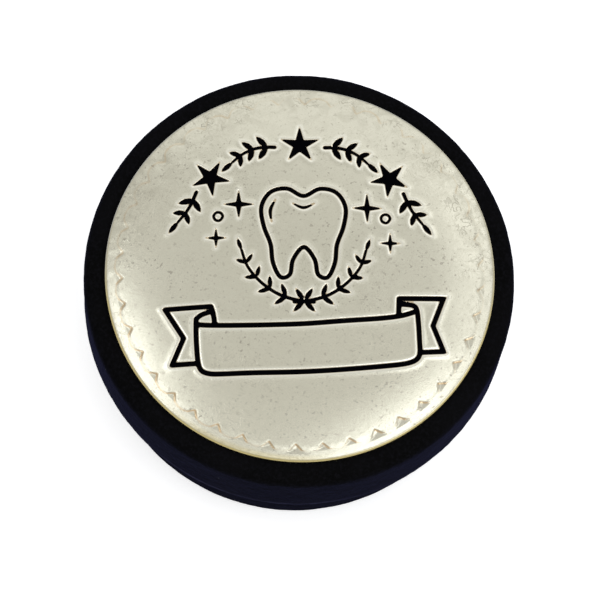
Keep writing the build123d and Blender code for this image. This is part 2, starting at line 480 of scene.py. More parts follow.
def sprig(stem, pairs, length, width, tip=0.9):
    """A curved stem, given from its foot to its tip, with pairs of leaves and one at its tip."""
    p = np.array(stem)
    along = np.concatenate([[0], np.cumsum(np.hypot(*np.diff(p, axis=0).T))])
    share = along / along[-1]

    def at(s):
        return [np.interp(s, share, p[:, i]) for i in (0, 1)]

    def heading(a, b):
        return math.degrees(math.atan2(b[1] - a[1], b[0] - a[0]))

    draw([(x, y, 0.36 - 0.11 * s) for (x, y), s in zip(stem, share)])
    for k in range(pairs):
        s = (k + 0.55) / (pairs + 0.35)
        turn = heading(at(s), at(min(s + 0.05, 1)))
        for side in (-1, 1):
            leaf(*at(s), turn + side * 52, length * (1 - 0.35 * s), width * (1 - 0.25 * s))
    leaf(*p[-1], heading(p[-2], p[-1]), tip * length, width * 0.8)


# Sprigs and stars along an arc
GARLAND = 12.2
for side in (-1, 1):
    for start, end, bow, pairs in ((11, 31, 0.35, 3), (52, 68, -0.3, 2)):
        turns = np.linspace(start, end, 7)
        radii = GARLAND + bow * np.sin(np.linspace(0, math.pi, 7))
        sprig([on_arc(r, side * t) for r, t in zip(radii, turns)], pairs, 1.55, 0.62)
for place in (-43, 0, 43):
    star(*on_arc(GARLAND, place), 5, 1.8, 1.05, 90 - place)

# A plain back tooth in outline with two curved shines, over a pair of crossed sprigs, with
# sparkles and rings beside it
TOOTH = [(0, 3.25), (1.45, 3.95), (2.95, 3.6), (3.75, 2.2), (3.55, 0.4), (2.95, -1.3)]
TOOTH += [(2.75, -3.0), (2.1, -4.35), (1.25, -4.1), (0.95, -2.7), (0, -1.55)]
TOOTH += [(-x, y) for x, y in reversed(TOOTH[1:-1])]
TOOTH_SIZE, TOOTH_X, TOOTH_Y = 1.04, 0.3, 3.75
RING = 0.42


def on_tooth(points):
    """Points of the tooth, moved to its place."""
    return [(x * TOOTH_SIZE + TOOTH_X, y * TOOTH_SIZE + TOOTH_Y, *w) for x, y, *w in points]


draw(on_tooth(TOOTH), closed=True)
draw(on_tooth([(-2.5, 2.9, 0.16), (-2.95, 1.9, 0.34), (-2.85, 0.8, 0.14)]))
draw(on_tooth([(-0.95, 2.55, 0.14), (0, 2.15, 0.3), (0.95, 2.55, 0.14)]))
for side in (-1, 1):
    stem = [(-0.9, -3.5), (0.6, -3.35), (2.4, -2.75), (4.0, -1.6), (5.2, -0.1), (5.75, 1.5)]
    sprig([(TOOTH_X + side * x, y + 0.35) for x, y in stem], 5, 1.5, 0.5, 0.8)
for x, y, size in ((6.2, 6.0, 1.35), (-5.7, 6.3, 1.35), (8.3, 2.6, 0.95), (-7.8, 3.0, 0.95)):
    star(x, y, 4, size, size * 0.42)
for x, y in ((7.9, 5.0), (-7.6, 5.1)):
    draw([(x + RING * math.cos(a), y + RING * math.sin(a)) for a in range(6)], 0.26, closed=True)

# A blank swallow-tailed ribbon
RIBBON = 0.47
draw(
    [(-9.6, -4.75), (-9.62, -5.3), (-9.6, -6.7), (-9.45, -8.7), (-9.15, -9.6), (-8.45, -9.93)]
    + [(-7.4, -9.98), (-4.6, -9.88), (0, -9.76), (4, -9.5), (7.9, -9.12), (9.7, -8.85)]
    + [(10.6, -8.45), (10.9, -7.8), (10.88, -6.6), (10.82, -5.2), (10.7, -3.9), (10.45, -3.42)]
    + [(9.9, -3.3), (9.2, -3.26)],
    RIBBON,
)
draw(
    [(-9.6, -5.3), (-8.6, -5.38), (-6.5, -5.4), (-3, -5.35), (0.4, -5.22), (3.8, -4.93)]
    + [(7.2, -4.65), (9.0, -4.4), (10.0, -4.13), (10.7, -3.85)],
    RIBBON,
)
draw([(-9.6, -4.75), (-9.1, -4.38), (-8.3, -4.1)], RIBBON)
draw([(-8.25, -3.62), (-8.05, -4.3), (-7.9, -5.3)], RIBBON)
for points in (
    [(-12.45, -3.88), (-8.3, -3.6)],
    [(-12.45, -3.9), (-10.75, -6.6), (-11.8, -9.1), (-9.45, -8.98)],
    [(9.05, -2.72), (8.98, -4.35)],
    [(9.05, -2.72), (13.15, -2.66), (12.15, -5.25), (13.1, -7.65), (10.95, -7.8)],
):
    draw(points, RIBBON, bend=False)
# The tails' corners run out to points
for x, y, dx, dy in (
    (-12.45, -3.88, -0.3, 0.08),
    (-11.8, -9.1, -0.22, -0.14),
    (13.15, -2.66, 0.36, 0.2),
    (13.1, -7.65, 0.3, -0.12),
):
    draw([(x, y, RIBBON), (x + dx, y + dy, 0.04)], bend=False)

# The plaque's shape

plaque_radius, plaque_bottom, plaque_top = reach("plaque_sheet")
SHEET = 0.3
BAND_HEIGHT = 0.55
EDGE_ROUND = 0.3
EDGE_BEVEL = 0.04  # at the foot of the turned-down edge
CROWN_RADIUS = 12.0
CROWN_DROP = 0.36
LOBES = 42
LOBE_PHASE = 0.3  # of a pitch, where the first tip lies
BORDER_WIDTH = 0.93
LOBE_DEPTH = 0.7
GROOVE_DEPTH = 0.17
GROOVE_WALL = 0.07
ENAMEL_DIP = 0.045
RIDGE = 0.022
RIDGE_WIDTH = 0.55
FIELD_STEP = 0.018  # from the field down to the border band
NOTCH_FLOOR = 0.14  # above the band's outer edge
NOTCH_DEPTH = 0.055  # below the dome at the tip, along the left of the border
GENTLE, STEEP = 0.31, 1.0  # slopes of the two sides of a notch
WORN_TURN = 0.12  # the worn part lies this far clockwise of the top, in radians
GOLD_TURN = 4.42  # where the golden edge is broad: a little left of the foot
# Painted shade: the plaque's edge is painted darker around this turn
SHADED_EDGE_TURN = 2.0  # where the edge is darker: a little left of the top
RIM_POINTS = LOBES * 12
DRAWN_X, DRAWN_Y = (-14.6, 14.6), (-11.4, 14.9)  # the design lies within these
BORDER_SPAN = 17.6
FACE_SPAN = 17.7
FAR = 1.2  # distances from the strokes are worked out up to this

PITCH = TURN / LOBES
band_top = plaque_bottom + BAND_HEIGHT
sheet_under = band_top - SHEET
lobe_top = plaque_radius - BORDER_WIDTH
lobe_root = lobe_top - LOBE_DEPTH
sphere_radius = (CROWN_RADIUS**2 + CROWN_DROP**2) / (2 * CROWN_DROP)
lean = math.asin(CROWN_RADIUS / sphere_radius)
knuckle_start = Vector((CROWN_RADIUS, plaque_top - CROWN_DROP))
chord = Vector((plaque_radius, band_top)) - knuckle_start
up = Vector((math.sin(lean), math.cos(lean)))
knuckle_radius = -chord.length_squared / (2 * chord.dot(up))
knuckle_centre = knuckle_start - up * knuckle_radius
# The turned-down edge starts where the face leans over by this much
edge_lean = math.asin((plaque_radius - EDGE_ROUND - knuckle_centre.x) / knuckle_radius)
flat_radius = plaque_radius - EDGE_ROUND * (1 - math.sin(edge_lean))


def dome(r):
    """The height of the domed field at radius r."""
    crown = plaque_top - sphere_radius + np.sqrt(sphere_radius**2 - np.minimum(r, CROWN_RADIUS) ** 2)
    far = np.clip(r - knuckle_centre.x, 0, knuckle_radius)
    knuckle = knuckle_centre.y + np.sqrt(knuckle_radius**2 - far**2)
    return np.where(r < CROWN_RADIUS, crown, knuckle)


def to_line(x, y, start, end):
    """The distance from each point to a straight line, and the share of it that lies behind."""
    dx, dy = end[0] - start[0], end[1] - start[1]
    along = (x - start[0]) * dx + (y - start[1]) * dy
    t = np.clip(along / max(dx * dx + dy * dy, 1e-12), 0, 1)
    return np.hypot(x - start[0] - t * dx, y - start[1] - t * dy), t


def from_strokes(x, y):
    """The distance from each point to the edge of the nearest stroke, less than 0 inside it."""
    found = np.full(len(x), FAR)
    for s in strokes:
        near = (x > s[:, 0].min() - FAR - 0.5) & (x < s[:, 0].max() + FAR + 0.5)
        near &= (y > s[:, 1].min() - FAR - 0.5) & (y < s[:, 1].max() + FAR + 0.5)
        index = np.flatnonzero(near)
        px, py, best = x[index], y[index], np.full(len(index), FAR)
        for start, end in zip(s, s[1:]):
            off, t = to_line(px, py, start, end)
            best = np.minimum(best, off - (start[2] + (end[2] - start[2]) * t) / 2)
        found[index] = np.minimum(found[index], best)
    return found


# Half of one lobe's outline, from the tip of the notch to the middle of the lobe, as radius and
# distance round the rim
LOBE_TIP = ((0.0, 0.0), (0.015, 0.05), (0.07, 0.12))
LOBE_BACK = ((0.17, 0.56), (0.10, 0.68), (0.045, 0.88), (0.01, 1.08), (0.0, lobe_top * PITCH / 2))
HALF_LOBE = [(lobe_root + rise, side) for rise, side in LOBE_TIP]
HALF_LOBE = np.array(HALF_LOBE + [(lobe_top - drop, side) for drop, side in LOBE_BACK])


def notch(x, y):
    """Each point's radius, its distance round the rim from the nearest notch, and that notch's
    number."""
    r, turn = np.hypot(x, y), np.arctan2(y, x) / PITCH - LOBE_PHASE
    number = np.round(turn)
    return r, (turn - number) * PITCH * lobe_top, number.astype(int) % LOBES


def to_outline(r, side):
    """The distance from each point to the half outline on the side that is given as positive."""
    lines = zip(HALF_LOBE, HALF_LOBE[1:])
    return np.minimum.reduce([to_line(r, side, start, end)[0] for start, end in lines])


def from_border(x, y):
    """How far inside the scalloped outline of the field each point is."""
    r, side, _ = notch(x, y)
    side = np.abs(side)
    inside = r < np.interp(side, HALF_LOBE[:, 1], HALF_LOBE[:, 0])
    return to_outline(r, side) * np.where(inside, 1, -1)


def worn_side(x, y, way=1):
    """1 at the top of the plaque, where the border is worn, or with way -1 at its foot."""
    return smooth(-0.35, 0.5, way * np.sin(np.arctan2(y, x) + WORN_TURN))


def crispness(x, y):
    """How sharply the border is struck: fully at the lower left, and worn soft at the top."""
    return 0.35 + 0.65 * worn_side(x, y, -1)


def leftness(x, y):
    """1 along the left of the border, where its outline shows all round the lobes."""
    return smooth(0.0, 0.6, -x / plaque_radius) * crispness(x, y)


def surface(x, y, art):
    """The height of the plaque's face without the grooves, from the distance to the strokes."""
    r, side, number = notch(x, y)
    inside = from_border(x, y)
    crisp = crispness(x, y)
    full = dome(r)
    wall = 0.12 + 0.3 * smooth(0.45, 0.9, np.abs(side)) + 0.2 * (1 - crisp)
    z = full - FIELD_STEP * (1 - smooth(0, 1, inside / wall))
    # Each notch is a dent with one gentle side, one steep side and a floor that is level, or
    # runs out into the dome where the border is on the left
    dice = np.stack([number, number * 0, number * 0 + 5], axis=1)
    floor = band_top + NOTCH_FLOOR + 0.025 * lattice(dice, 3)
    runs_out = full - NOTCH_DEPTH * np.clip((lobe_top + 0.1 - r) / 0.75, 0, 1)
    floor = floor + (runs_out - floor) * smooth(0.15, 0.6, leftness(x, y))
    gentle = full - (GENTLE + 0.08 * lattice(dice, 4)) * to_outline(r, -side)
    dent = np.maximum(np.maximum(gentle, full - STEEP * to_outline(r, side)), floor)
    reach_out = smooth(0.0, -0.05, inside) * (r < plaque_radius - 0.5)
    z -= np.maximum(z - dent, 0) * reach_out * crisp
    u = np.clip(art / RIDGE_WIDTH, 0, 1)
    z += RIDGE * 0.5 * (1 - np.cos(TURN * u**0.68)) * (u < 1)
    # The sheet is a little uneven, and more so where it is worn
    flat = np.stack([x, y, np.zeros(len(x))], axis=1)
    z += 0.009 * rough(flat, 5.0, 11) + 0.002 * rough(flat, 1.7, 12)
    z += 0.014 * rough(flat, 0.7, 13) * smooth(15.4, 16.6, r) * (1.15 - crisp)
    even = full - FIELD_STEP
    return even + (z - even) * smooth(flat_radius, flat_radius - 0.2, r)


def onto_level(p, field, level):
    """Points that are close to where a field equals a level, moved onto it."""
    e = 1e-3
    for _ in range(2):
        off = field(*p.T) - level
        gx, gy = ((field(*(p + s).T) - field(*(p - s).T)) / (2 * e) for s in ((e, 0), (0, e)))
        size = np.maximum(gx**2 + gy**2, 0.25)
        shift = np.stack([off * gx / size, off * gy / size], axis=1)
        p = p - np.clip(shift, -0.05, 0.05)
    return [tuple(q) for q in p]


def contour(field, x_range, y_range, step, levels):
    """Points and edges along the lines where a field equals each level."""
    xs = np.arange(x_range[0], x_range[1] + step, step)
    ys = np.arange(y_range[0], y_range[1] + step, step)
    gx, gy = np.meshgrid(xs, ys)
    values = field(gx.ravel(), gy.ravel()).reshape(gx.shape)
    points, edges = [], []
    for level in levels:
        v = values - level
        sign = v > 0
        at, cells = {}, set()
        first = len(points)
        # Where the line crosses the grid's level edges, "a", and its upright ones, "u"
        for way, di, dj in (("a", 0, 1), ("u", 1, 0)):
            crossed = np.argwhere(sign[: len(ys) - di, : len(xs) - dj] != sign[di:, dj:])
            for i, j in crossed:
                t = v[i, j] / (v[i, j] - v[i + di, j + dj])
                at[(way, i, j)] = len(points)
                x = xs[j] + t * (xs[j + dj] - xs[j])
                points.append((x, ys[i] + t * (ys[i + di] - ys[i])))
            cells |= {(i, j) for i, j in crossed} | {(i - dj, j - di) for i, j in crossed}
        for i, j in cells:
            keys = (("a", i, j), ("u", i, j + 1), ("a", i + 1, j), ("u", i, j))
            found = [at[k] for k in keys if k in at]
            if len(found) == 2:
                edges.append(tuple(found))
            elif len(found) == 4:
                middle = v[i : i + 2, j : j + 2].mean() > 0
                same = middle == sign[i, j]
                pairs = ((0, 1), (2, 3)) if same else ((0, 3), (1, 2))
                edges += [(found[a], found[b]) for a, b in pairs]
        points[first:] = onto_level(np.array(points[first:]), field, level)
    return points, edges


def in_notch(x, y):
    """A test for the parts of the face round a notch."""
    r, side, _ = notch(x, y)
    return (r > lobe_root - 0.05) & (r < lobe_top + 0.35) & (np.abs(side) < 0.75)


def between(low, high):
    """A test for the parts of the face that are so far from a stroke, the border or the rim."""

    def test(x, y):
        r = np.hypot(x, y)
        line = np.minimum(np.abs(from_border(x, y)), np.abs(flat_radius - r)) + 0.05
        near = np.minimum(from_strokes(x, y), line)
        return (near >= low) & (near < high) & (r < flat_radius - 0.05)

    return test


def face_plan():
    """The flat layout of the plaque's face: x, y, the triangles, and the rim's points in order."""
    turns = np.arange(RIM_POINTS) * TURN / RIM_POINTS
    points = [(flat_radius * math.cos(a), flat_radius * math.sin(a)) for a in turns]
    edges = [(k, (k + 1) % RIM_POINTS) for k in range(RIM_POINTS)]
    border = (-BORDER_SPAN, BORDER_SPAN)
    for new, joins in (
        contour(from_strokes, DRAWN_X, DRAWN_Y, 0.13, (-0.07, 0.0, 0.06, 0.15, 0.27, 0.42, 0.62)),
        contour(from_border, border, border, 0.12, (0.0, 0.07, 0.14)),
    ):
        start = len(points)
        points.extend(new)
        edges.extend((a + start, b + start) for a, b in joins)
    tree = KDTree(len(points))
    for k, (x, y) in enumerate(points):
        tree.insert((x, y, 0), k)
    tree.balance()
    # The rest is filled with rows of points, closer together near the lines and clear of them
    for spacing, clear, test in (
        (0.085, 0.05, in_notch),
        (0.16, 0.07, between(-math.inf, 0.5)),
        (0.26, 0.12, between(0.5, 0.95)),
        (0.5, 0.2, between(0.95, math.inf)),
    ):
        rows = np.arange(-BORDER_SPAN, FACE_SPAN, spacing * math.sqrt(3) / 2)
        for k, y in enumerate(rows):
            x = np.arange(-FACE_SPAN, FACE_SPAN, spacing) + (k % 2) * spacing / 2
            chosen = x[test(x, np.full(len(x), y))]
            points += [(px, y) for px in chosen if tree.find((px, y, 0))[2] > clear]
    corners = [Vector(p) for p in points]
    flat, _, triangles, source, _, _ = delaunay_2d_cdt(corners, edges, [], 0, 1e-5)
    x, y = np.array([tuple(p) for p in flat]).T
    triangles = np.array(triangles)
    middle = np.hypot(x[triangles].mean(axis=1), y[triangles].mean(axis=1))
    triangles = triangles[middle < flat_radius]
    a, b, c = (np.stack([x, y], axis=1)[triangles[:, k]] for k in range(3))
    area = (b - a)[:, 0] * (c - a)[:, 1] - (b - a)[:, 1] * (c - a)[:, 0]
    triangles[area < 0] = triangles[area < 0][:, ::-1]
    number = {old: new for new, olds in enumerate(source) for old in olds}
    return x, y, triangles, [number[k] for k in range(RIM_POINTS)]


def sheet_profile(rim_height):
    """The stamped sheet from the rim of its face round under it to its middle."""
    middle_r = plaque_radius - EDGE_ROUND
    middle_z = rim_height - EDGE_ROUND * math.cos(edge_lean)
    bore = plaque_radius - SHEET
    foot = plaque_bottom + EDGE_BEVEL
    profile = [
        (middle_r + EDGE_ROUND * math.sin(t), middle_z + EDGE_ROUND * math.cos(t))
        for t in np.linspace(edge_lean, math.pi / 2, 8)[1:]
    ]
    profile += [(plaque_radius, foot), (plaque_radius - EDGE_BEVEL, plaque_bottom)]
    profile += [(bore + EDGE_BEVEL, plaque_bottom), (bore, foot), (bore, sheet_under)]
    profile += [(lobe_root - 0.1, sheet_under), (lobe_root - 0.25, sheet_under + 0.2)]
    return profile + [(r, float(dome(np.array(r))) - SHEET) for r in (15.5, 13.5, 11, 8, 5, 2.5)]


def stamped_sheet(x, y, z, triangles, rim):
    """The sheet itself, and all its points. The first of them are the face's."""
    points = [np.stack([x, y, z], axis=1)]
    faces = [tuple(t) for t in triangles.tolist()]
    turns = np.arctan2(y[rim], x[rim])
    total, previous = len(x), rim
    following = [(k + 1) % RIM_POINTS for k in range(RIM_POINTS)]
    for r, height in sheet_profile(z[rim[0]]):
        level = np.full(RIM_POINTS, height)
        points.append(np.stack([r * np.cos(turns), r * np.sin(turns), level], axis=1))
        now = list(range(total, total + RIM_POINTS))
        total += RIM_POINTS
        faces += [(previous[k], now[k], now[m], previous[m]) for k, m in enumerate(following)]
        previous = now
    points.append(np.array([[0, 0, plaque_top - SHEET]]))
    faces += [(previous[k], total, previous[m]) for k, m in enumerate(following)]
    points = np.concatenate(points)
    sheet = make("plaque_stamped_sheet", points, faces, silver_plate, "lid")
    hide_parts("plaque_sheet")
    return sheet, points


def wear(sheet, points, x, y, art):
    """Marks for the sheet's material, with painted shade and a painted highlight among them."""
    r, turn, z = cylinder(points)
    outer = z > sheet_under
    upper = worn_side(points[:, 0], points[:, 1])
    n = len(x)
    # Gold along the edge, and painted shade that darkens the edge at the far side
    edge = smooth(flat_radius - 0.02, flat_radius + 0.16, r) * outer
    broad = smooth(flat_radius - 0.5, flat_radius - 0.02, r) * outer
    broad *= 0.4 * smooth(0.88, 0.99, np.cos(turn - GOLD_TURN))
    golden = np.maximum(edge * (0.9 - 0.75 * upper), broad)
    edge_painted_shade = smooth(flat_radius + 0.05, flat_radius + 0.15, r) * outer
    edge_painted_shade *= 0.8 * smooth(0.2, 0.6, np.cos(turn - SHADED_EDGE_TURN))
    # Brown in the notches, along the outline of the lobes in patches, and beside the strokes
    notch_r, side, _ = notch(x, y)
    inside = from_border(x, y)
    left = leftness(x, y)
    tip = smooth(lobe_top + 0.02, lobe_top - 0.2, notch_r)
    steep = hump(to_outline(notch_r, side) - 0.06, 0.09) * (inside < 0.03)
    gentle = hump(to_outline(notch_r, -side) - 0.02, 0.06) * (inside < 0.05)
    brown = np.maximum(steep * 0.85, gentle * (0.25 + 0.55 * left)) * tip * crispness(x, y)
    patchy = 0.5 + 0.5 * rough(np.stack([x, y, x * 0], axis=1), 1.3, 21)
    shown = (0.04 + 0.75 * left) * (0.5 + 0.5 * patchy)
    shown += 0.42 * upper[:n] * (1 - left) * smooth(0.45, 0.75, patchy)
    brown = np.maximum(brown, hump(inside - 0.03, 0.045) * shown)
    crevice, stroke_painted_highlight = np.zeros(len(points)), np.zeros(len(points))
    crevice[:n] = np.maximum(brown, 0.55 * hump(art, 0.06))
    # Painted highlight: the metal just beside the strokes is painted paler
    stroke_painted_highlight[:n] = 0.75 * smooth(0.0, 0.06, art) * smooth(0.42, 0.08, art)
    cloud = smooth(13.0, 16.4, r) * (0.12 + 0.88 * upper)
    paint(sheet, "marks", golden, crevice, cloud)
    paint(sheet, "painted_light_marks", edge_painted_shade, stroke_painted_highlight)


def open_edges(triangles):
    """The edges, each as (from, to), that only one triangle has."""
    edges = {(a, b) for t in triangles.tolist() for a, b in zip(t, t[1:] + t[:1])}
    return [(a, b) for a, b in edges if (b, a) not in edges]


def enamel_fill(x, y, face, groove_z, triangles, art):
    """The black in the grooves: the triangles inside the strokes, closed underneath."""
    chosen = (art[triangles] < 0.012).all(axis=1)
    # Where two patches would touch at a single point, the triangles round it join them
    while True:
        inner_faces = triangles[chosen]
        rims = open_edges(inner_faces)
        starts = [a for a, _ in rims]
        pinched = [a for a in set(starts) if starts.count(a) > 1]
        if not pinched:
            break
        chosen |= np.isin(triangles, pinched).any(axis=1)
    used = np.unique(inner_faces)
    number = {int(v): k for k, v in enumerate(used)}
    tops = [tuple(number[v] for v in t) for t in inner_faces.tolist()]
    rims = [(number[a], number[b]) for a, b in rims]
    count = len(used)
    meniscus = ENAMEL_DIP * smooth(0.0, 0.13, -art[used]) + 0.006
    top = np.stack([x[used], y[used], face[used] - meniscus], axis=1)
    low = np.stack([x[used], y[used], groove_z[used] - 0.001], axis=1)
    low[:, 2] = np.minimum(low[:, 2], top[:, 2] - 0.02)
    faces = tops + turned_over([tuple(v + count for v in t) for t in tops])
    faces += [(b, a, a + count, b + count) for a, b in rims]
    points = np.concatenate([top, low])
    make("plaque_enamel", points, faces, black_enamel, "lid", sharp=50)


def plaque():
    """The stamped sheet with its grooves, and the black that fills them."""
    x, y, triangles, rim = face_plan()
    art = from_strokes(x, y)
    face = surface(x, y, art)
    groove_z = face - GROOVE_DEPTH * smooth(0.0, GROOVE_WALL, -art + 0.004)
    groove_z[rim] = float(dome(np.array(flat_radius))) - FIELD_STEP
    sheet, points = stamped_sheet(x, y, groove_z, triangles, rim)
    wear(sheet, points, x, y, art)
    enamel_fill(x, y, face, groove_z, triangles, art)


plaque()

# Velvet

lid_radius, skirt_bottom, lid_top = reach("lid_velvet")
base_radius, base_bottom, rim_top = reach("base_velvet")
PILE = 0.45
FOLD_ROUND = 0.42
LID_CLEARANCE = 0.15  # between the base and the hem inside the skirt
MOUTH_STEP = 0.2  # from the outside of the wall's satin in to the velvet of the mouth
SKIRT_HEM = 2.05  # how far up inside the skirt the lid's velvet ends
RIM_HEM = 2.45  # how far down inside the mouth the base's velvet ends
BASE_HEM = 3.55  # how far in under the base it ends
NAP = 0.05
BASE_NAP = 0.045
HEM_NAP = 0.01
BACK = math.pi / 2  # the angle of the seams
AROUND = 720

shoulder = lid_radius - plaque_radius
skirt_bore = base_radius + LID_CLEARANCE


def nap(points, out, amount, seed):
    """Moves points along their normals as brushed pile stands, uneven at three sizes."""
    lift = 0.45 * rough(points, 4.5, seed) + 0.3 * rough(points, 1.3, seed + 1)
    lift += 0.35 * rough(points, 0.42, seed + 2)
    return points + out * (lift * amount)[:, None]


def lid_cover():
    """The velvet over the lid, from its middle to the hem inside its skirt."""
    under_plaque = [(r, lid_top) for r in (0, 8, 14, 16)]
    corners = [(plaque_radius - 1.0, lid_top), (lid_radius, lid_top, shoulder)]
    corners += [(lid_radius, skirt_bottom, FOLD_ROUND), (skirt_bore + 0.02, skirt_bottom, 0.3)]
    seen = rounded(corners + [(skirt_bore, skirt_bottom + SKIRT_HEM)], 0.17).tolist()
    core, bore = lid_radius - PILE, skirt_bore + PILE
    hidden = [(bore, skirt_bottom + SKIRT_HEM), (bore, skirt_bottom + PILE)]
    hidden += [(core, skirt_bottom + PILE), (core, lid_top - PILE - 1.0)]
    hidden += [(core - 1.0, lid_top - PILE), (0, lid_top - PILE)]
    points, faces, out, angles, rows = lathe(np.array(under_plaque + seen + hidden), AROUND)
    r, _, z = cylinder(points)
    amount = NAP * smooth(plaque_radius - 0.4, plaque_radius + 0.5, r)
    amount[z < lid_top - 0.05] = NAP
    amount[r < skirt_bore + 0.4] = HEM_NAP
    amount *= (rows > len(under_plaque)) & (rows < len(under_plaque) + len(seen))
    # The foot of the skirt is a folded edge, so it wavers a little
    foot = smooth(skirt_bottom + 1.2, skirt_bottom, z) * (r > lid_radius - 0.8)
    ring = np.stack([np.cos(angles) * 9, np.sin(angles) * 9, angles * 0], axis=1)
    points[:, 2] += 0.05 * foot * rough(ring, 1.6, 31)
    points = nap(points, out, amount, 40)
    piece = make("lid_velvet_cover", points, faces, lid_pile, "lid")
    # Painted sheen: the fold at the foot of the skirt is painted paler and bluer, as where it
    # catches light
    painted_sheen = smooth(skirt_bottom + 0.88, skirt_bottom + 0.55, points[:, 2]) * (r > lid_radius - 0.6)
    painted_sheen *= 0.45 + 0.55 * smooth(-0.5, 0.4, rough(points, 1.9, 33))
    paint(piece, "painted_sheen", painted_sheen)
    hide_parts("lid_velvet")
    return piece


def base_cover():
    """The velvet round the base, from the hem under it to the hem in its mouth."""
    hem_inner = base_radius - PILE - BASE_HEM
    mouth = reach("wall_lining")[0] - MOUTH_STEP
    corners = [(hem_inner, base_bottom), (base_radius, base_bottom, 0.5)]
    corners += [(base_radius, rim_top, FOLD_ROUND), (mouth, rim_top, FOLD_ROUND)]
    seen = rounded(corners + [(mouth, rim_top - RIM_HEM)], 0.2).tolist()
    core = base_radius - PILE
    hidden = [(mouth + PILE, rim_top - RIM_HEM), (mouth + PILE, rim_top - PILE)]
    hidden += [(core, rim_top - PILE), (core, base_bottom + PILE), (hem_inner, base_bottom + PILE)]
    points, faces, out, angles = ring_solid(np.array(seen + hidden), AROUND)
    # This profile has its solid on the left, so its faces and normals are turned over
    out = -out
    faces = turned_over(faces)
    r, _, z = cylinder(points)
    rim = z > rim_top - 0.44
    open_side = (r > base_radius - 0.44) | rim
    mouth_side = (r < mouth + 0.2) & (z > rim_top - 2.4)
    amount = BASE_NAP * open_side + 0.03 * mouth_side
    points = nap(points, out, np.minimum(amount, BASE_NAP), 60)
    # The ends of the strip meet in a butt seam at the back
    away = past(angles, BACK) * r
    sunk = 0.13 * hump(away, 0.14) - 0.03 * hump(np.abs(away) - 0.35, 0.2)
    sunk *= smooth(base_bottom + 0.4, base_bottom + 1.1, points[:, 2]) * open_side
    points -= out * sunk[:, None]
    piece = make("base_velvet_cover", points, faces, base_pile, "base")
    # Painted sheen: the base's rim is painted a little paler and bluer
    paint(piece, "painted_sheen", 0.12 * rim * (r > mouth + 0.1))
    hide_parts("base_velvet")
    return piece


lid_velvet = lid_cover()
base_velvet = base_cover()

# Lining, cushions and felt

TUCKS = 38
LINING = 0.2


def gathers(angles, seed):
    """Uneven upright pulls in a stretched lining, from -1 to 1."""
    random = np.random.default_rng(seed)
    total = np.zeros(len(angles))
    for count in (17, 23, 29, 37, 43):
        total += random.uniform(0.5, 1) * np.cos(count * angles + random.uniform(0, TURN))
    total = total / 2.4
    return total - 0.35 * np.abs(total)


def tucks(points, radius, seed):
    """How deep the tucks round a drawn-in edge are at each point, from 0 to 1."""
    random = np.random.default_rng(seed)
    r, turn, _ = cylinder(points)
    deep = np.zeros(len(points))
    for k in range(TUCKS):
        at = TURN * (k + random.uniform(-0.35, 0.35)) / TUCKS
        length, width = radius * random.uniform(0.16, 0.55), random.uniform(0.18, 0.34)
        run = np.clip((r - radius + length) / length, 0, 1)
        away = past(turn, at) * r
        away += 0.25 * (1 - run) * random.uniform(-1, 1)
        deep = np.maximum(deep, hump(away, width + 0.25 * (1 - run)) * run**1.4)
    return deep


def pad_cover(name, node, body, facing, edge, crown, seed):
    """A stuffed satin round whose cover is drawn in round its edge. Its side is edge high, and
    its middle is a crown higher."""
    radius, low, high = reach(node)
    foot = radius - 0.35 * edge
    # The fabric puffs up between its tucks, so the shape before that is a little lower
    rise = crown - 0.1
    profile = [(0, edge + rise)]
    for r in np.linspace(0, radius - 0.45, 56)[1:]:
        profile.append((r, edge + rise * (1 - (r / (radius - 0.2)) ** 2.2)))
    last_r, last_z = profile[-1]
    side_z = edge * 0.55
    for t in np.linspace(0, 1, 9)[1:]:
        x = last_r + (radius - last_r) * math.sin(t * math.pi / 2)
        profile.append((x, side_z + (last_z - side_z) * math.cos(t * math.pi / 2)))
    profile += [(radius - 0.08, edge * 0.3), (foot, 0.06), (foot - 0.25, 0)]
    profile += [(r, 0) for r in (12, 8, 4, 0)]
    points, faces, out, _, _ = lathe(np.array(profile), AROUND)
    r, _, z = cylinder(points)
    lift = -0.5 * edge * tucks(points, radius, seed) * smooth(0.3, 0.75, z / edge)
    puff = 0.06 * rough(points, 5.5, seed + 1) + 0.035 * rough(points, 2.1, seed + 2)
    lift += (0.02 + puff) * smooth(radius, radius * 0.8, r)
    lift[z < 0.03] = 0
    points = points + out * lift[:, None]
    points[:, 2] = np.minimum(points[:, 2], edge + crown)
    if facing < 0:
        points[:, 2] = high - points[:, 2]
        faces = turned_over(faces)
    else:
        points[:, 2] += low
    piece = make(name, points, faces, ivory_satin, body)
    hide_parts(node)


def pad_foam(name, node, body, seed):
    """The foam round in a cushion, cut by hand, so that its side is uneven."""
    radius, low, high = reach(node)
    side = [(0, high), (radius * 0.5, high), (radius - 0.5, high), (radius - 0.22, high - 0.04)]
    side += [(radius - 0.06, high - 0.22), (radius - 0.05, low + 0.22), (radius - 0.22, low + 0.04)]
    side += [(radius - 0.5, low), (radius * 0.5, low), (0, low)]
    points, faces, out, _, _ = lathe(np.array(side), 240)
    r, _, _ = cylinder(points)
    wobble = 0.04 * np.abs(rough(points, 1.2, seed + 5)) * smooth(radius - 0.6, radius - 0.2, r)
    points -= out * wobble[:, None]
    foam = make(name + "_foam", points, faces, foam_skin, body)
    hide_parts(node)


pad_cover("satin_cushion", "floor_cushion", "base", 1, edge=1.0, crown=0.9, seed=70)
pad_foam("satin_cushion", "floor_foam", "base", seed=70)
pad_cover("satin_lid_pad", "lid_lining_satin", "lid", -1, edge=0.7, crown=0.35, seed=80)
pad_foam("satin_lid_pad", "lid_lining_foam", "lid", seed=80)


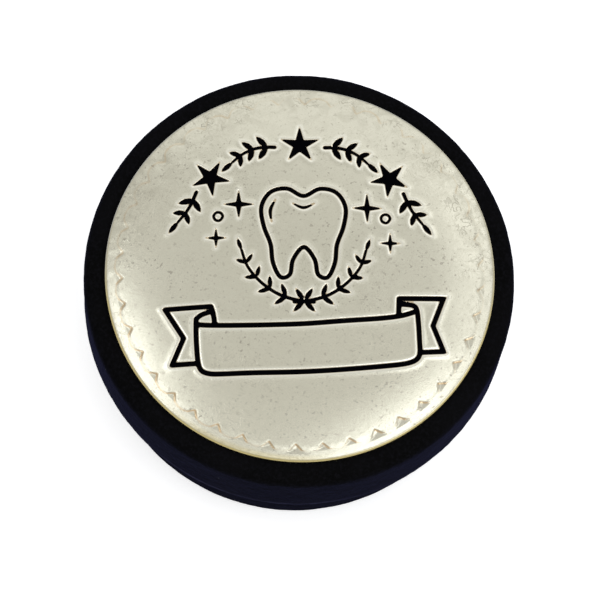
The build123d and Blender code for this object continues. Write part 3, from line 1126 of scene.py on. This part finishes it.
def wall_satin():
    """The satin round the cup's wall, with slight upright pulls and a seam at the back."""
    outer, low, high = reach("wall_lining")
    inner = outer - LINING
    corners = [(outer, low), (inner, low, 0.05), (inner, high, 0.08), (outer, high, 0.02)]
    points, faces, out, angles = ring_solid(rounded(corners + [(outer, low + 0.01)], 0.4), 540)
    r, _, z = cylinder(points)
    pull = 0.05 * gathers(angles, 91) * (0.4 + 0.6 * smooth(low, high, z))
    pull -= 0.08 * hump(past(angles, BACK) * inner, 0.12)
    points += out * (np.minimum(pull, 0.05) * (r < inner + 0.03))[:, None]
    piece = make("wall_satin", points, faces, ivory_satin, "base")
    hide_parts("wall_lining")


def felt_round():
    """The felt disc, cut with a blunt punch, so that its edge is a little fuzzy and uneven."""
    radius, low, high = reach("base_felt")
    side = [(0, high), (radius * 0.6, high), (radius - 0.15, high), (radius - 0.03, high - 0.08)]
    side += [(radius, (high + low) / 2), (radius - 0.03, low + 0.08), (radius - 0.15, low)]
    side += [(r, low) for r in np.linspace(radius - 0.4, 0, 60)]
    points, faces, _, _, _ = lathe(np.array(side), 420)
    r, _, z = cylinder(points)
    under = (z < low + 0.01) & (r > 0.01)
    points[:, 2] += under * (0.022 + 0.02 * rough(points, 0.5, 95) + 0.01 * rough(points, 3, 96))
    points[:, 2] = np.maximum(points[:, 2], low)
    edge = smooth(radius - 0.2, radius, r)
    points[:, :2] *= (1 - 0.0018 * edge * (1 + rough(points, 0.5, 97)))[:, None]
    piece = make("felt_underlay", points, faces, black_felt, "base")
    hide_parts("base_felt")


wall_satin()
felt_round()

# The CAD nodes that keep their own shape

CORES = ["base_shell", "lid_shell"]
CARDS = ["wall_lining_card", "floor_card", "lid_lining_card"]
FLOCK = ((0.006, 0.006, 0.008), (0.02, 0.02, 0.026))


def dress(nodes, *look, **fixed):
    """Gives CAD nodes a plain material."""
    material = plain(*look, **fixed)
    for node in nodes:
        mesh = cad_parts[node].data
        mesh.materials.clear()
        mesh.materials.append(material)


dress(CORES, "moulded_core", (0.012, 0.012, 0.013), (0.03, 0.03, 0.032), 0.3, 0.02, 0.5)
dress(CARDS, "grey_card", (0.25, 0.235, 0.20), (0.40, 0.385, 0.34), 0.2, 0.05, 0.9)
dress(["lid_lining_paper"], "flocked_paper", *FLOCK, 0.12, 0.06, 0.95, Specular_IOR_Level=0.05)
dress(["plaque_backing"], "backing_board", (0.20, 0.16, 0.11), (0.33, 0.28, 0.20), 0.25, 0.04, 0.9)
dress(["plaque_tape"], "adhesive_film", (0.55, 0.54, 0.48), (0.70, 0.69, 0.64), 0.5, 0.02, 0.35)

# Camera, floor and light

scene = bpy.context.scene
scene.view_settings.view_transform = "Standard"

# The camera was fitted to the photo's outlines. It is swung round the box's axis from the front,
# and rolled by the same angle.
IMAGE = 600  # pixels along a side
SENSOR = 36.0
LOOK = 330.0  # from the camera to the target
SCALE = 10.772  # pixels to a millimetre at the target
HEIGHT_ANGLE = math.radians(72.44)
SWING = math.radians(8.15)
TARGET = Vector((0, 0, 16))
TARGET_PIXEL = (299.35, 278.7)


def aimed_camera():
    """A camera that shows the target at its pixel."""
    cos_swing, sin_swing = math.cos(SWING), math.sin(SWING)
    cos_height, sin_height = math.cos(HEIGHT_ANGLE), math.sin(HEIGHT_ANGLE)
    right = Vector((cos_swing, -sin_swing, 0))
    upward = Vector((sin_swing * sin_height, cos_swing * sin_height, cos_height))
    across = cos_swing * right + sin_swing * upward
    above = -sin_swing * right + cos_swing * upward
    focal = SCALE * LOOK
    beside, over = ((IMAGE / 2 - pixel) * LOOK / focal for pixel in TARGET_PIXEL)
    aim = TARGET + across * beside - above * over
    eye = TARGET + Vector((-sin_swing * cos_height, -cos_swing * cos_height, sin_height)) * LOOK
    back = (eye - aim).normalized()
    across = (across - back * across.dot(back)).normalized()
    above = back.cross(across)
    camera = bpy.data.objects.new("camera", bpy.data.cameras.new("camera"))
    camera.data.sensor_width = SENSOR
    camera.data.lens = focal / IMAGE * SENSOR
    camera.data.clip_start, camera.data.clip_end = 0.01, 10.0
    axes = Matrix((across, above, back)).transposed().to_4x4()
    camera.matrix_world = Matrix.Translation(eye * MM) @ axes
    scene.collection.objects.link(camera)
    return camera


scene.camera = aimed_camera()

# The lamps and the floor are placed in metres
WORLD_LIGHT = 0.8
LAMP_DISTANCE = 1.0
LAMP_HEIGHT = 0.018  # of the point that the lamps face
LAMP_TINT = (0.91, 0.935, 1.0)
FLOOR_HALF = 2.0
FLOOR_DROP = 0.00002
FLOOR_GLOW = 0.5


def shown_directly(tree):
    """1 for what the camera sees, also in a reflection or through glass, and 0 for the light that
    falls on other things."""
    rays = tree.nodes.new("ShaderNodeLightPath").outputs
    shown = rays["Is Camera Ray"]
    for name in ("Is Glossy Ray", "Is Transmission Ray"):
        either = tree.nodes.new("ShaderNodeMath")
        either.operation = "MAXIMUM"
        tree.links.new(shown, either.inputs[0])
        tree.links.new(rays[name], either.inputs[1])
        shown = either.outputs[0]
    return shown


def studio_world():
    """An even white world, seen at full strength and a little dimmer as a light."""
    world = bpy.data.worlds.new("studio")
    world.use_nodes = True
    tree = world.node_tree
    level = tree.nodes.new("ShaderNodeMapRange")
    level.inputs["To Min"].default_value = WORLD_LIGHT
    tree.links.new(shown_directly(tree), level.inputs["Value"])
    background = tree.nodes["Background"].inputs
    tree.links.new(level.outputs["Result"], background["Strength"])
    background["Color"].default_value = (1, 1, 1, 1)
    return world


def softbox(name, right_tilt, back_tilt, long, short, heading, radiance):
    """An oval soft light, placed by its tilt from straight overhead to the right and to the
    back, with its length and width as seen from the object and the heading of its length, all
    in degrees."""
    data = bpy.data.lights.new(name, "AREA")
    data.shape = "ELLIPSE"
    data.size = 2 * LAMP_DISTANCE * math.tan(math.radians(long / 2))
    data.size_y = 2 * LAMP_DISTANCE * math.tan(math.radians(short / 2))
    data.energy = radiance * math.pi * (math.pi / 4 * data.size * data.size_y)
    data.color = LAMP_TINT
    made = bpy.data.objects.new(name, data)
    tilt = math.hypot(right_tilt, back_tilt)
    level = math.sin(math.radians(tilt)) / tilt
    away = Vector((right_tilt * level, back_tilt * level, math.cos(math.radians(tilt))))
    turn = math.radians(heading)
    length = Vector((math.cos(turn), math.sin(turn), 0))
    length = (length - away * length.dot(away)).normalized()
    axes = Matrix((length, away.cross(length), away)).transposed().to_4x4()
    place = away * LAMP_DISTANCE + Vector((0, 0, LAMP_HEIGHT))
    made.matrix_world = Matrix.Translation(place) @ axes
    scene.collection.objects.link(made)


def pale_floor():
    """A white paper floor just below the box, which keeps its shadow."""
    paper = Shader("floor_paper", Roughness=0.9, Specular_IOR_Level=0.1)
    tone = paper.mix(paper.noise(1.5, 3, 0.5), (0.86, 0.86, 0.86), (0.88, 0.88, 0.88))
    glow = paper.times(shown_directly(paper.tree), FLOOR_GLOW)
    white = (1, 1, 1, 1)
    corners = [(x * FLOOR_HALF, y * FLOOR_HALF, 0) for x, y in ((-1, -1), (1, -1), (1, 1), (-1, 1))]
    mesh = bpy.data.meshes.new("floor")
    mesh.from_pydata(corners, [], [(0, 1, 2, 3)])
    look = paper.set(Base_Color=tone, Emission_Color=white, Emission_Strength=glow)
    mesh.materials.append(look)
    floor = bpy.data.objects.new("floor", mesh)
    floor.location.z = -FLOOR_DROP
    scene.collection.objects.link(floor)


scene.world = studio_world()
softbox("softbox_left", -18.0, 5.5, 23, 9, 110, 2.65)
softbox("softbox_right", 15.0, -3.0, 24, 9, 42, 2.8)
softbox("softbox_right_back", 23.0, 16.0, 26, 10, 100, 1.05)
softbox("softbox_back", 12.0, 38.0, 58, 27, 168, 0.5)
softbox("softbox_front", 1.0, -12.0, 20, 10, 0, 1.05)
softbox("softbox_low", 38.0, -22.0, 54, 17, 45, 2.3)
pale_floor()
